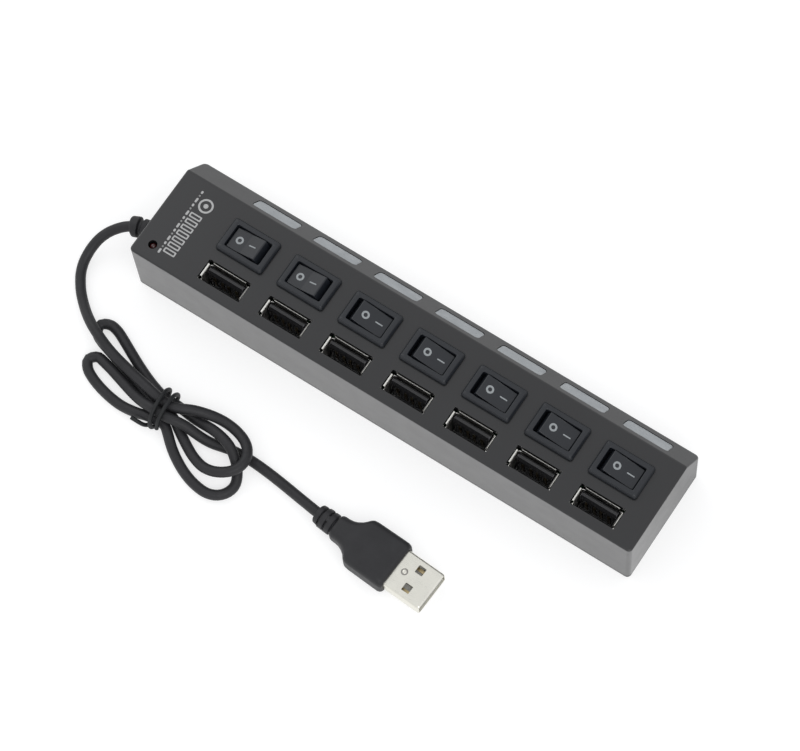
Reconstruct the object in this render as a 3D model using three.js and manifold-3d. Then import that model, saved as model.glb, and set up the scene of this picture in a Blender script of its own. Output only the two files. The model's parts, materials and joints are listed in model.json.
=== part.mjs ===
// A powered seven-port hub with a rocker switch and a status window for every port, its captive
// cable tied in a bundle, and the plug on the cable's end.
// Units are millimetres, +Z is up. The origin is the centre of the hub's footprint, on the floor.
// +X runs along the hub away from the cable, -Y faces the ports' long side.

import * as THREE from "three";
import { mergeVertices } from "three/addons/utils/BufferGeometryUtils.js";
import Module from "manifold-3d";

const wasm = await Module();
wasm.setup();

// ---------------------------------------------------------------- driving dimensions

const GAP = 0.3;

const HUB = { length: 160, depth: 35, height: 22.5, wall: 2, corner: 1 };
const HALF_X = HUB.length / 2;
const HALF_Y = HUB.depth / 2;

// The rear slope falls from the flat roof at y = front to the back wall at z = low.
const SLOPE = { front: 10.5, low: 14.2 };

const COVER = { rim: 1, top: 2.4, seam: 0.2 };
const CAP = { radius: 2.4, bottom: 0.1, top: 0.85 };
const SCREW = { leftX: -71, rightX: 76, y: 12, head: 1.8, shank: 0.95, headFrom: 1, headTo: 1.7, tip: 8 };
const SCREW_HOLE = { cap: 2.55, capDepth: 0.9, head: 2, headDepth: 1.75, shank: 1.1 };
const POST = { radius: 2.1, bottom: 2.55, pilotTop: 9 };

const COLUMN = { count: 7, first: -52.8, pitch: 19.8 };

const PORT = { y: -11.2, innerX: 12.5, innerY: 5.12, sheet: 0.3, top: 22.2 };
const PORT_CUT = { x: 13.7, y: 6.3 };
const TONGUE = { width: 11.1, thick: 1.84, toRearWall: 0.67, top: 21.7, baseTop: 12.9 };

const SWITCH = {
  y: 0.5, bezelX: 15, bezelY: 10.5, bezelTop: 24, edge: 0.3,
  bodyX: 13, bodyY: 8.4, bottom: 13, wellX: 11.2, wellY: 6.9, wellFloor: 15,
};
const SWITCH_CUT = { x: 13.5, y: 8.9 };
const ROCKER = {
  pivotZ: 20.3, tilt: 12, halfY: 3.3, endX: 4.75, endZ: 3.8, dipZ: 3.2,
  hipX: 5.45, hipZ: 0.2, footX: 4.85, footZ: -2.2, noseX: 1, noseZ: -3,
  pinRadius: 0.8, pinReach: 3.85, pinHole: 0.97,
};
const SWITCHED_OFF = 2; // the columns nearest the cable stand in the off position

const WINDOW = { length: 14.2, top: 2.33, bottom: 8.07, corner: 1.2, play: 0.15, recess: 0.15 };
const LIGHT_BAR = { left: -60.4, right: 73.6, top: 1.6, bottom: 8.8, outer: 2.15, inner: 3.6 };

const BOARD = { bottom: 6.4, top: 8, left: -68.5, right: 73.4, halfY: 15.2 };
const BOARD_TAB = { left: -77.5, front: -3.2, back: 9.5 };
const POWER_LED = { x: -75.2, y: -12.9, radius: 1.1, hole: 1.3, boss: 2.2 };
const JACK = { y: 5, z: 12, bodyX: 11.6, bodyY: 8, bodyZ: 7.6, nozzle: 3.2, hole: 3.5, bore: 2.5 };

const CABLE = { radius: 1.5, bore: 1.75, wallY: -6.3, wallZ: 10 };
const TIE = { x: -50.5, y: -46, half: 2.2, low: 3.05, high: 5.9, pitch: 3.3, wire: 0.6 };

const PLUG = { x: 27.9, y: -49.6, z: 3.95, turn: -3.4 };
const PLUG_SHELL = { width: 12, height: 4.5, sheet: 0.3, back: -3.7, front: 11.2 };
const LATCH = { x: 5.4, y: 3, side: 2.3 };
const DIMPLE = { x: 2.1, y: 0.25, radius: 0.95, depth: 0.12 };
const OVERMOLD = {
  front: -0.6, neckX: -20.8, halfZ: 3.9, edgeZ: 2.4, edgeY: 1.6, pocket: 4, fromCableEnd: 9,
};

// ---------------------------------------------------------------- solids and booleans

function solid(geometry) {
  const bare = geometry.clone();
  bare.deleteAttribute("normal");
  bare.deleteAttribute("uv");
  const merged = mergeVertices(bare, 1e-4);
  return new wasm.Manifold(new wasm.Mesh({
    numProp: 3,
    vertProperties: merged.attributes.position.array,
    triVerts: new Uint32Array(merged.index.array),
  }));
}

function surface(manifold) {
  const mesh = manifold.getMesh();
  const geometry = new THREE.BufferGeometry();
  geometry.setAttribute("position", new THREE.BufferAttribute(mesh.vertProperties, 3));
  geometry.setIndex(new THREE.BufferAttribute(mesh.triVerts, 1));
  geometry.computeVertexNormals();
  return geometry;
}

function join(...geometries) {
  return surface(geometries.map(solid).reduce((sum, next) => sum.add(next)));
}

function cut(geometry, ...tools) {
  return surface(tools.map(solid).reduce((rest, tool) => rest.subtract(tool), solid(geometry)));
}

function common(a, b) {
  return surface(solid(a).intersect(solid(b)));
}

// ---------------------------------------------------------------- basic shapes

function box([x0, x1], [y0, y1], [z0, z1]) {
  const geometry = new THREE.BoxGeometry(x1 - x0, y1 - y0, z1 - z0);
  return geometry.translate((x0 + x1) / 2, (y0 + y1) / 2, (z0 + z1) / 2);
}

// A block centred on (x, y), w by d in plan, from z0 to z1.
function block(x, y, w, d, z0, z1) {
  return box([x - w / 2, x + w / 2], [y - d / 2, y + d / 2], [z0, z1]);
}

function rodZ(x, y, radius, z0, z1, sides = 20) {
  const geometry = new THREE.CylinderGeometry(radius, radius, z1 - z0, sides);
  return geometry.rotateX(Math.PI / 2).translate(x, y, (z0 + z1) / 2);
}

function rodY(x, z, radius, y0, y1, sides = 12) {
  const geometry = new THREE.CylinderGeometry(radius, radius, y1 - y0, sides);
  return geometry.translate(x, (y0 + y1) / 2, z);
}

function rodX(y, z, radius, x0, x1, sides = 20) {
  const geometry = new THREE.CylinderGeometry(radius, radius, x1 - x0, sides);
  return geometry.rotateZ(Math.PI / 2).translate((x0 + x1) / 2, y, z);
}

function outline(points) {
  return new THREE.Shape(points.map(([a, b]) => new THREE.Vector2(a, b)));
}

// A (y, z) outline pulled along X.
function prismX(points, x0, x1) {
  const geometry = new THREE.ExtrudeGeometry(outline(points), { depth: x1 - x0, bevelEnabled: false });
  const turn = new THREE.Matrix4().makeBasis(
    new THREE.Vector3(0, 1, 0),
    new THREE.Vector3(0, 0, 1),
    new THREE.Vector3(1, 0, 0),
  );
  return geometry.applyMatrix4(turn).translate(x0, 0, 0);
}

// An (x, z) outline pulled along Y, centred on y = 0.
function prismY(points, width) {
  const geometry = new THREE.ExtrudeGeometry(outline(points), { depth: width, bevelEnabled: false });
  return geometry.rotateX(Math.PI / 2).translate(0, width / 2, 0);
}

function roundedRect(w, d, r) {
  const shape = new THREE.Shape();
  shape.absarc(w / 2 - r, d / 2 - r, r, 0, Math.PI / 2);
  shape.absarc(r - w / 2, d / 2 - r, r, Math.PI / 2, Math.PI);
  shape.absarc(r - w / 2, r - d / 2, r, Math.PI, 1.5 * Math.PI);
  shape.absarc(w / 2 - r, r - d / 2, r, 1.5 * Math.PI, 2 * Math.PI);
  return shape;
}

// A rounded rectangle pulled up from z0 to z1.
function slab(w, d, r, z0, z1, curveSegments = 3) {
  const options = { depth: z1 - z0, bevelEnabled: false, curveSegments };
  return new THREE.ExtrudeGeometry(roundedRect(w, d, r), options).translate(0, 0, z0);
}

// A closed round rod along a curve.
function tube(curve, radius, steps, curveSegments = 4) {
  const circle = new THREE.Shape();
  circle.absarc(0, 0, radius, 0, 2 * Math.PI);
  return new THREE.ExtrudeGeometry(circle, { steps, extrudePath: curve, curveSegments });
}

function smooth(points) {
  const vectors = points.map((p) => new THREE.Vector3(...p));
  return new THREE.CatmullRomCurve3(vectors, false, "centripetal");
}

// ---------------------------------------------------------------- meshes and materials

function mesh(name, geometry, material) {
  const made = new THREE.Mesh(geometry, material);
  made.name = name;
  return made;
}

function finish(color, roughness, metalness = 0) {
  return new THREE.MeshStandardMaterial({ color, roughness, metalness });
}

const housingPlastic = () => finish(0x333335, 0.5);
const switchPlastic = () => finish(0x24272d, 0.35);
const milkyPlastic = () => finish(0xb4b8b9, 0.35);
const insulatorPlastic = () => finish(0x17181a, 0.45);
const plugPlastic = () => finish(0xdedcd4, 0.5);
const platedSteel = () => finish(0xd6d2c6, 0.25, 1);
const screwSteel = () => finish(0x8d8f92, 0.35, 1);
const gold = () => finish(0xc9a54e, 0.3, 1);
const cableJacket = () => finish(0x2a2d30, 0.5);
const tieWire = () => finish(0x1d1f21, 0.6);
const capRubber = () => finish(0x1b1b1c, 0.9);
const boardLaminate = () => finish(0x1d5a34, 0.5);
const chipEpoxy = () => finish(0x16171a, 0.55);
const ledEpoxy = () => finish(0xc8463c, 0.25);
const surfaceLedEpoxy = () => finish(0xe6e0c4, 0.3);

// ---------------------------------------------------------------- places

const columns = Array.from({ length: COLUMN.count }, (_, k) => COLUMN.first + COLUMN.pitch * k);

const screwPlaces = [
  [SCREW.leftX, -SCREW.y],
  [SCREW.leftX, SCREW.y],
  [SCREW.rightX, -SCREW.y],
  [SCREW.rightX, SCREW.y],
];

// The rear slope's own frame: s runs down the slope from the roof, d runs into the hub.
const slopeRun = HALF_Y - SLOPE.front;
const slopeDrop = HUB.height - SLOPE.low;
const slopeLength = Math.hypot(slopeRun, slopeDrop);

function onSlope(s, d) {
  const y = SLOPE.front + (s * slopeRun - d * slopeDrop) / slopeLength;
  const z = HUB.height - (s * slopeDrop + d * slopeRun) / slopeLength;
  return [y, z];
}

function slopeBlock(x0, x1, s0, s1, d0, d1) {
  return prismX([onSlope(s0, d1), onSlope(s1, d1), onSlope(s1, d0), onSlope(s0, d0)], x0, x1);
}

// A window's rounded outline, made smaller by inset, from depth d1 out to depth d0.
function windowBlock(x, inset, d0, d1) {
  const drop = WINDOW.bottom - WINDOW.top;
  const [y, z] = onSlope((WINDOW.top + WINDOW.bottom) / 2, 0);
  const plate = slab(WINDOW.length - 2 * inset, drop - 2 * inset, WINDOW.corner - inset, -d1, -d0);
  const place = new THREE.Matrix4().makeBasis(
    new THREE.Vector3(1, 0, 0),
    new THREE.Vector3(0, slopeRun, -slopeDrop).normalize(),
    new THREE.Vector3(0, slopeDrop, slopeRun).normalize(),
  );
  return plate.applyMatrix4(place).translate(x, y, z);
}

// ---------------------------------------------------------------- casing

function housingOuter(bottom) {
  const section = [
    [-HALF_Y, bottom],
    [HALF_Y, bottom],
    [HALF_Y, SLOPE.low],
    [SLOPE.front, HUB.height],
    [-HALF_Y, HUB.height],
  ];
  const bar = prismX(section, -HALF_X, HALF_X);
  return common(bar, slab(HUB.length, HUB.depth, HUB.corner, bottom, HUB.height + 1));
}

// The hollow below the roof; its rear slope runs parallel to the outer one.
function housingHollow() {
  const inY = HALF_Y - HUB.wall;
  const roof = HUB.height - HUB.wall;
  const sRoof = (HUB.height - roof - (HUB.wall * slopeRun) / slopeLength) / (slopeDrop / slopeLength);
  const sBack = (inY - SLOPE.front + (HUB.wall * slopeDrop) / slopeLength) / (slopeRun / slopeLength);
  const section = [
    [-inY, 0],
    [inY, 0],
    onSlope(sBack, HUB.wall),
    onSlope(sRoof, HUB.wall),
    [-inY, roof],
  ];
  return prismX(section, HUB.wall - HALF_X, HALF_X - HUB.wall);
}

function topHousing() {
  const bottom = COVER.rim + COVER.seam;
  const outer = housingOuter(bottom);
  const roof = HUB.height - HUB.wall;
  const shell = cut(outer, housingHollow());
  const posts = screwPlaces.map(([x, y]) => rodZ(x, y, POST.radius, POST.bottom, HUB.height, 12));
  const ledBoss = rodZ(POWER_LED.x, POWER_LED.y, POWER_LED.boss, roof - 1.9, roof + 0.5, 16);
  const body = common(join(shell, ...posts, ledBoss), outer);
  const openings = columns.flatMap((x) => [
    block(x, PORT.y, PORT_CUT.x, PORT_CUT.y, roof - 1, HUB.height + 1),
    block(x, SWITCH.y, SWITCH_CUT.x, SWITCH_CUT.y, roof - 1, HUB.height + 1),
    windowBlock(x, 0, -1, 3),
  ]);
  const pilots = screwPlaces.map(([x, y]) => rodZ(x, y, SCREW_HOLE.shank, 0, POST.pilotTop, 10));
  const ledHole = rodZ(POWER_LED.x, POWER_LED.y, POWER_LED.hole, roof - 3, HUB.height + 1, 16);
  const cableHole = rodX(CABLE.wallY, CABLE.wallZ, 2.8, -HALF_X - 1, 1 - HALF_X + HUB.wall);
  const jackHole = rodX(JACK.y, JACK.z, JACK.hole, -HALF_X - 1, 1 - HALF_X + HUB.wall);
  return mesh("top_housing", cut(body, ...openings, ...pilots, ledHole, cableHole, jackHole),
    housingPlastic());
}

function bottomCover() {
  const inset = 2 * (HUB.wall + GAP);
  const rim = slab(HUB.length, HUB.depth, HUB.corner, 0, COVER.rim);
  const plateau = slab(HUB.length - inset, HUB.depth - inset, 0.5, COVER.rim - 0.2, COVER.top);
  const standoffs = [[-40, -9], [-40, 9], [0, -9], [40, -9], [40, 9], [-62, 6]].map(
    ([x, y]) => rodZ(x, y, 2, COVER.top - 0.2, BOARD.bottom - 0.15, 8));
  const steps = [
    [SCREW_HOLE.cap, SCREW_HOLE.capDepth],
    [SCREW_HOLE.head, SCREW_HOLE.headDepth],
    [SCREW_HOLE.shank, COVER.top + 1],
  ];
  const holes = screwPlaces.flatMap(
    ([x, y]) => steps.map(([radius, depth]) => rodZ(x, y, radius, -1, depth, 12)));
  return mesh("bottom_cover", cut(join(rim, plateau, ...standoffs), ...holes), housingPlastic());
}

// A rubber plug that hides a screw, just short of the underside.
function screwCap(k) {
  const [x, y] = screwPlaces[k];
  return mesh(`screw_cap_${k + 1}`, rodZ(x, y, CAP.radius, CAP.bottom, CAP.top, 16), capRubber());
}

// A pan-head screw that holds the bottom cover to a post of the housing.
function coverScrew(k) {
  const [x, y] = screwPlaces[k];
  const { head, shank, headFrom, headTo, tip } = SCREW;
  const profile = [[0, headFrom], [head, headFrom], [head, headTo], [shank, headTo], [shank, tip - 1],
    [0, tip]];
  const points = profile.map(([r, z]) => new THREE.Vector2(r, z));
  const geometry = new THREE.LatheGeometry(points, 10).rotateX(Math.PI / 2).translate(x, y, 0);
  return mesh(`cover_screw_${k + 1}`, geometry, screwSteel());
}

// ---------------------------------------------------------------- ports

function portShell(k) {
  const x = columns[k];
  const outerX = PORT.innerX + 2 * PORT.sheet;
  const outerY = PORT.innerY + 2 * PORT.sheet;
  const sleeve = block(x, PORT.y, outerX, outerY, BOARD.top + 0.15, PORT.top);
  const mouth = block(x, PORT.y, PORT.innerX, PORT.innerY, 0, HUB.height + 1);
  return mesh(`port_shell_${k + 1}`, cut(sleeve, mouth), platedSteel());
}

// The black block in the bottom of the shell and the tongue that carries the contacts.
function portInsulator(k) {
  const x = columns[k];
  const rear = PORT.y + PORT.innerY / 2 - TONGUE.toRearWall;
  const base = block(x, PORT.y, PORT.innerX - GAP, PORT.innerY - GAP, BOARD.top + 0.15, TONGUE.baseTop);
  const tongue = box(
    [x - TONGUE.width / 2, x + TONGUE.width / 2],
    [rear - TONGUE.thick, rear],
    [TONGUE.baseTop - 1, TONGUE.top],
  );
  return mesh(`port_insulator_${k + 1}`, join(base, tongue), insulatorPlastic());
}

// ---------------------------------------------------------------- rocker switches

// The switch's frame and its open well, with a round hole each side for the rocker's pins.
function switchBody(k) {
  const x = columns[k];
  const { edge } = SWITCH;
  const underside = HUB.height + 0.05;
  const rise = SWITCH.bezelTop - underside;
  const flangeShape = roundedRect(SWITCH.bezelX - 2 * edge, SWITCH.bezelY - 2 * edge, 0.5);
  const flange = new THREE.ExtrudeGeometry(flangeShape, {
    depth: rise, bevelThickness: 0.5, bevelSize: edge, bevelSegments: 1, curveSegments: 1,
  }).translate(x, SWITCH.y, underside - 0.5);
  const trim = block(x, SWITCH.y, 20, 20, underside, SWITCH.bezelTop);
  const body = block(x, SWITCH.y, SWITCH.bodyX, SWITCH.bodyY, SWITCH.bottom, underside + 0.5);
  const terminals = [-4, 4].map(
    (offset) => block(x + offset, SWITCH.y, 0.6, 2.8, BOARD.top + 0.3, SWITCH.bottom + 0.5));
  const well = block(x, SWITCH.y, SWITCH.wellX, SWITCH.wellY, SWITCH.wellFloor, SWITCH.bezelTop + 1);
  const pinHoles = rodY(x, ROCKER.pivotZ, ROCKER.pinHole, SWITCH.y - 5, SWITCH.y + 5);
  const whole = join(common(flange, trim), body, ...terminals);
  return mesh(`switch_body_${k + 1}`, cut(whole, well, pinHoles), switchPlastic());
}

// The rocker tilts about its pins' axis, which is the mesh's origin.
function switchRocker(k) {
  const r = ROCKER;
  const side = [[r.noseX, r.noseZ], [r.footX, r.footZ], [r.hipX, r.hipZ], [r.endX, r.endZ], [0, r.dipZ],
    [-r.endX, r.endZ], [-r.hipX, r.hipZ], [-r.footX, r.footZ], [-r.noseX, r.noseZ]];
  const paddle = prismY(side, 2 * r.halfY);
  const pins = rodY(0, 0, r.pinRadius, -r.pinReach, r.pinReach);
  const rocker = mesh(`switch_rocker_${k + 1}`, join(paddle, pins), switchPlastic());
  rocker.position.set(columns[k], SWITCH.y, r.pivotZ);
  const sign = k < SWITCHED_OFF ? -1 : 1;
  rocker.rotation.y = sign * THREE.MathUtils.degToRad(r.tilt);
  return rocker;
}

// ---------------------------------------------------------------- inside the casing

// One clear moulding behind the rear slope, with a raised window for each port.
function lightBar() {
  const strip = slopeBlock(LIGHT_BAR.left, LIGHT_BAR.right, LIGHT_BAR.top, LIGHT_BAR.bottom,
    LIGHT_BAR.outer, LIGHT_BAR.inner);
  const windows = columns.map((x) => windowBlock(x, WINDOW.play, WINDOW.recess, 2.5));
  return mesh("light_bar", join(strip, ...windows), milkyPlastic());
}

function mainBoard() {
  const sheet = box([BOARD.left, BOARD.right], [-BOARD.halfY, BOARD.halfY], [BOARD.bottom, BOARD.top]);
  const tab = box(
    [BOARD_TAB.left, BOARD.left + 1],
    [BOARD_TAB.front, BOARD_TAB.back],
    [BOARD.bottom, BOARD.top],
  );
  return mesh("main_board", join(sheet, tab), boardLaminate());
}

function hubChip() {
  return mesh("hub_chip", block(0, 2, 9, 9, BOARD.bottom - 1.25, BOARD.bottom - 0.05), chipEpoxy());
}

function portLed(k) {
  const led = block(columns[k], 12.5, 3.2, 1.8, BOARD.top + 0.05, BOARD.top + 1.3);
  return mesh(`port_led_${k + 1}`, led, surfaceLedEpoxy());
}

// A small round lamp pushed up into the boss in the housing's corner, with its two leads.
function powerLed() {
  const { x, y, radius } = POWER_LED;
  const bulb = rodZ(x, y, radius, 18.2, 22, 14);
  const collar = rodZ(x, y, 1.5, 17.6, 18.4, 14);
  const leads = [-0.6, 0.6].map((offset) => rodZ(x + offset, y, 0.25, 12, 18, 6));
  return mesh("power_led", join(bulb, collar, ...leads), ledEpoxy());
}

function dcJack() {
  const front = GAP - HALF_X;
  const wall = HUB.wall - HALF_X + GAP;
  const body = box(
    [wall, wall + JACK.bodyX],
    [JACK.y - JACK.bodyY / 2, JACK.y + JACK.bodyY / 2],
    [BOARD.top + 0.15, BOARD.top + 0.15 + JACK.bodyZ],
  );
  const nozzle = rodX(JACK.y, JACK.z, JACK.nozzle, front, wall + 1);
  const bore = rodX(JACK.y, JACK.z, JACK.bore, front - 1, wall + 9);
  const pin = rodX(JACK.y, JACK.z, 0.7, front + 1, wall + 10, 12);
  return mesh("dc_jack", join(cut(join(body, nozzle), bore), pin), insulatorPlastic());
}

// ---------------------------------------------------------------- cable

// Two points of a straight strand through the tie. way is +1 towards the plug, -1 back.
function throughTie(offset, z, way) {
  return [-way, way].map((end) => [TIE.x + end * TIE.half, TIE.y + offset, z]);
}

// The cable leaves the hub, runs five times through the tie with two loops on each side, and
// ends inside the plug's moulding.
const cableCurve = smooth([
  // out of the hub and down to the floor
  [-70, CABLE.wallY, CABLE.wallZ], [-76, CABLE.wallY, CABLE.wallZ], [-80, CABLE.wallY, CABLE.wallZ],
  [-84.3, -6.6, 9.8], [-88, -7.8, 9.2], [-91.5, -10.1, 7.6], [-94.4, -13.6, 5.4], [-95.6, -18.3, 3.2],
  [-94.9, -23.4, 1.8], [-91.8, -28.3, 1.6], [-87.5, -32.4, 2.4],
  // up over the first left-hand loop
  [-83, -35.6, 4.2], [-79, -37.7, 5.1], [-73, -40, 5.1], [-66, -41.7, 5.1], [-58.5, -43.2, 5.6],
  ...throughTie(TIE.pitch / 2, TIE.high, 1),
  // the upper right-hand loop
  [-44.5, -42.5, 5.7], [-40, -40.8, 4.8], [-35.5, -40, 4.3], [-31, -40.4, 4.6], [-27, -41.8, 5.2],
  [-24.2, -44.3, 5.7], [-23.4, -47.6, 6], [-24.8, -50.8, 5.9], [-28, -53, 5.2], [-32, -53.7, 4],
  [-36.5, -52.5, 2.6], [-41, -50.2, 1.8], [-45, -47.8, 2],
  ...throughTie(0, TIE.low, -1),
  // the first left-hand loop, under the strand from the hub
  [-57, -45, 2.1], [-62.5, -43, 1.6], [-68.5, -41, 1.6], [-74, -39.3, 1.6], [-78, -38, 1.6],
  [-80.8, -36, 1.6], [-80.4, -33.7, 1.6], [-77.6, -32.8, 1.6], [-73.5, -34.2, 1.6],
  [-69, -36.4, 1.6], [-63.5, -39, 1.6], [-58, -41.2, 2],
  ...throughTie(TIE.pitch, TIE.low, 1),
  // the lower right-hand loop, over the strand to the plug and under the upper loop
  [-44.5, -43, 2.3], [-40.5, -43.2, 2.5], [-37, -43.4, 3.7], [-33, -44.1, 4.8], [-29.5, -45.2, 4.9],
  [-26.4, -47.3, 3.9], [-24, -50, 2.4], [-22.9, -53, 1.6], [-24, -56.4, 1.6], [-27, -58.5, 1.6],
  [-31.5, -58.6, 1.6], [-36.5, -57.2, 1.6], [-41.5, -54.6, 1.7], [-45.2, -51.9, 2.2],
  ...throughTie(-TIE.pitch, TIE.low, -1),
  // the second left-hand loop
  [-57, -50.1, 2.2], [-62, -50.6, 1.6], [-67, -50.1, 1.6], [-72, -48.8, 1.6], [-76, -46.9, 1.6],
  [-77.7, -44.6, 1.6], [-76.3, -42.6, 1.7], [-72.6, -43.1, 2.5], [-67.5, -44.5, 3],
  [-62, -46.1, 3.3], [-57.5, -47.2, 4.3],
  ...throughTie(-TIE.pitch / 2, TIE.high, 1),
  // away to the plug
  [-45.3, -47.2, 5.6], [-42.5, -46.7, 4.3], [-39.3, -46.6, 2.5], [-35.5, -46.3, 1.6],
  [-29.5, -45, 1.6], [-24, -44.6, 1.6], [-18, -44.9, 1.6], [-12, -45.6, 1.8], [-6, -46.6, 2.8],
  [1, -47.7, 3.8], [8, -48.4, PLUG.z], [16, -48.9, PLUG.z],
]);
cableCurve.arcLengthDivisions = 2000;
const cableLength = cableCurve.getLength();

function cable() {
  return mesh("cable", tube(cableCurve, CABLE.radius, 145), cableJacket());
}

// A round sleeve around the cable, between two distances along it.
function sleeve(from, to, radius, steps = 1) {
  const points = Array.from({ length: steps + 1 }, (_, i) => {
    const along = from + ((to - from) * i) / steps;
    return cableCurve.getPointAt(along / cableLength).toArray();
  });
  return tube(smooth(points), radius, steps, 5);
}

// The moulded boot where the cable leaves the hub: an inner flange, a neck through the wall,
// and two ribs and an end collar outside.
function strainRelief() {
  const wallAt = HALF_X - 70;
  const parts = [
    sleeve(wallAt - HUB.wall - 2, wallAt - HUB.wall - GAP, 3.5),
    sleeve(wallAt - HUB.wall - 1, wallAt + 0.8, 2.5),
    sleeve(wallAt + 0.4, wallAt + 7.6, 2.2, 5),
    sleeve(wallAt + 0.4, wallAt + 2, 2.8),
    sleeve(wallAt + 3, wallAt + 4.4, 2.8),
    sleeve(wallAt + 5.6, wallAt + 8, 2.95, 2),
  ];
  const bore = sleeve(wallAt - 5, wallAt + 10, CABLE.bore, 8);
  return mesh("cable_strain_relief", cut(join(...parts), bore), cableJacket());
}

// The wire goes twice round the five strands, leaning away from the plug at the rear, and its
// front end lies loose.
function twistTie() {
  const ring = [[3.5, 0.75], [5.2, 1.7], [5.7, 4.1], [3.9, 7.3], [1.6, 8.3], [-1.6, 8.3],
    [-3.8, 7.3], [-5.6, 4.1], [-5.2, 1.7], [-3.5, 0.75]];
  const turn = (start, end, count) => ring.slice(0, count).map(([y, z], i) => {
    const x = start + ((end - start) * i) / (count - 1);
    return [TIE.x + x, TIE.y + y, z];
  });
  const tail = [[-57.2, -52.6, 4.3], [-55.4, -52.5, 3.9], [-53.7, -52.1, 2.6], [-52.8, -51, 1.2]];
  const path = [
    ...tail,
    [TIE.x - 2.2, TIE.y - 3.5, 0.75],
    ...turn(-2.8, -0.7, ring.length),
    ...turn(0.1, 1.1, ring.length - 2),
  ];
  return mesh("twist_tie", tube(smooth(path), TIE.wire, 52, 3), tieWire());
}

// ---------------------------------------------------------------- plug

// The grip's flat top in plan: a broad head for the fingers, a waist, and a neck towards the
// cable. The sides stand one rounded edge further out.
function gripShape() {
  const half = new THREE.Path();
  half.moveTo(OVERMOLD.front - OVERMOLD.edgeY, 5.1);
  half.quadraticCurveTo(-2.3, 5.5, -2.8, 5.5);
  half.lineTo(-11.2, 5.4);
  half.quadraticCurveTo(-12.6, 5.2, -13.4, 4.3);
  half.quadraticCurveTo(-14.8, 2.7, -17.4, 2.2);
  half.lineTo(OVERMOLD.neckX + OVERMOLD.edgeY, 2.1);
  const upper = half.getPoints(3);
  const lower = upper.map((p) => new THREE.Vector2(p.x, -p.y)).reverse();
  return new THREE.Shape([...upper, ...lower]);
}

function inPlug(geometry) {
  const place = new THREE.Matrix4().makeRotationZ(THREE.MathUtils.degToRad(PLUG.turn));
  place.setPosition(PLUG.x, PLUG.y, PLUG.z);
  return geometry.applyMatrix4(place);
}

// The grip and its ribbed boot are one moulding around the shell's back and the cable's end.
function plugOvermold() {
  const { halfZ, edgeZ, edgeY, pocket } = OVERMOLD;
  const grip = new THREE.ExtrudeGeometry(gripShape(), {
    depth: 2 * (halfZ - edgeZ), bevelThickness: edgeZ, bevelSize: edgeY, bevelSegments: 3,
  }).translate(0, 0, edgeZ - halfZ);
  const neckAt = cableLength - OVERMOLD.fromCableEnd;
  const ribs = [[-5.8, -4.5, 2.9], [-3.9, -2.5, 3.2], [-1.9, 0.6, 3.3]].map(
    ([from, to, radius]) => sleeve(neckAt + from, neckAt + to, radius));
  const core = sleeve(neckAt - 5.2, neckAt + 3, 2.3, 4);
  const seat = block(0, 0, 2 * pocket, PLUG_SHELL.width + GAP, 0, PLUG_SHELL.height + GAP);
  seat.translate(0, 0, -(PLUG_SHELL.height + GAP) / 2);
  const bore = sleeve(cableLength - 20, cableLength, CABLE.bore, 8);
  const boreEnd = inPlug(rodX(0, 0, CABLE.bore, -13, -11.4));
  const whole = join(inPlug(grip), core, ...ribs);
  return mesh("plug_overmold", cut(whole, inPlug(seat), bore, boreEnd), cableJacket());
}

function plugShell() {
  const { width, height, sheet, back, front } = PLUG_SHELL;
  const outer = box([back, front], [-width / 2, width / 2], [-height / 2, height / 2]);
  const inner = box(
    [back - 1, front + 1],
    [sheet - width / 2, width / 2 - sheet],
    [sheet - height / 2, height / 2 - sheet],
  );
  const latches = [-LATCH.y, LATCH.y].map(
    (y) => block(LATCH.x, y, LATCH.side, LATCH.side, -height, height));
  const pits = [-height / 2, height / 2].map(
    (z) => rodZ(DIMPLE.x, DIMPLE.y, DIMPLE.radius, z - DIMPLE.depth, z + DIMPLE.depth, 16));
  return mesh("plug_shell", cut(outer, inner, ...latches, ...pits), platedSteel());
}

const PLUG_TONGUE = { halfY: 5.6, bottom: -1.85, top: 0.05 };

function plugInsulator() {
  const { halfY, bottom, top } = PLUG_TONGUE;
  const tongue = box([PLUG_SHELL.back + 0.2, PLUG_SHELL.front - 0.6], [-halfY, halfY], [bottom, top]);
  return mesh("plug_insulator", tongue, plugPlastic());
}

// The outer pair of contacts reaches further forward than the inner pair.
function plugContact(k) {
  const y = [-3.5, -1, 1, 3.5][k];
  const reach = k === 0 || k === 3 ? 10.1 : 9.1;
  const blade = box([2, reach], [y - 0.5, y + 0.5], [PLUG_TONGUE.top + 0.05, PLUG_TONGUE.top + 0.25]);
  return mesh(`plug_contact_${k + 1}`, blade, gold());
}

function plugMetal() {
  const group = new THREE.Group();
  group.position.set(PLUG.x, PLUG.y, PLUG.z);
  group.rotation.z = THREE.MathUtils.degToRad(PLUG.turn);
  group.add(plugShell(), plugInsulator(), ...[0, 1, 2, 3].map(plugContact));
  return group;
}

// ---------------------------------------------------------------- the whole

const hub = new THREE.Group();
hub.add(topHousing(), bottomCover(), mainBoard(), hubChip(), lightBar(), powerLed(), dcJack());
for (let k = 0; k < COLUMN.count; k += 1) {
  hub.add(portShell(k), portInsulator(k), switchBody(k), switchRocker(k), portLed(k));
}
for (let k = 0; k < screwPlaces.length; k += 1) {
  hub.add(coverScrew(k), screwCap(k));
}
hub.add(strainRelief(), cable(), twistTie(), plugOvermold(), plugMetal());

export default hub;
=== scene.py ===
"""Looks for a seven-port hub with rocker switches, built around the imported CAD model.

Lengths are metres, written as millimetres times MM. The frame is the CAD model's own.
"""

import json
import math

import bmesh
import bpy
from mathutils import Matrix, Quaternion, Vector


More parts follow.
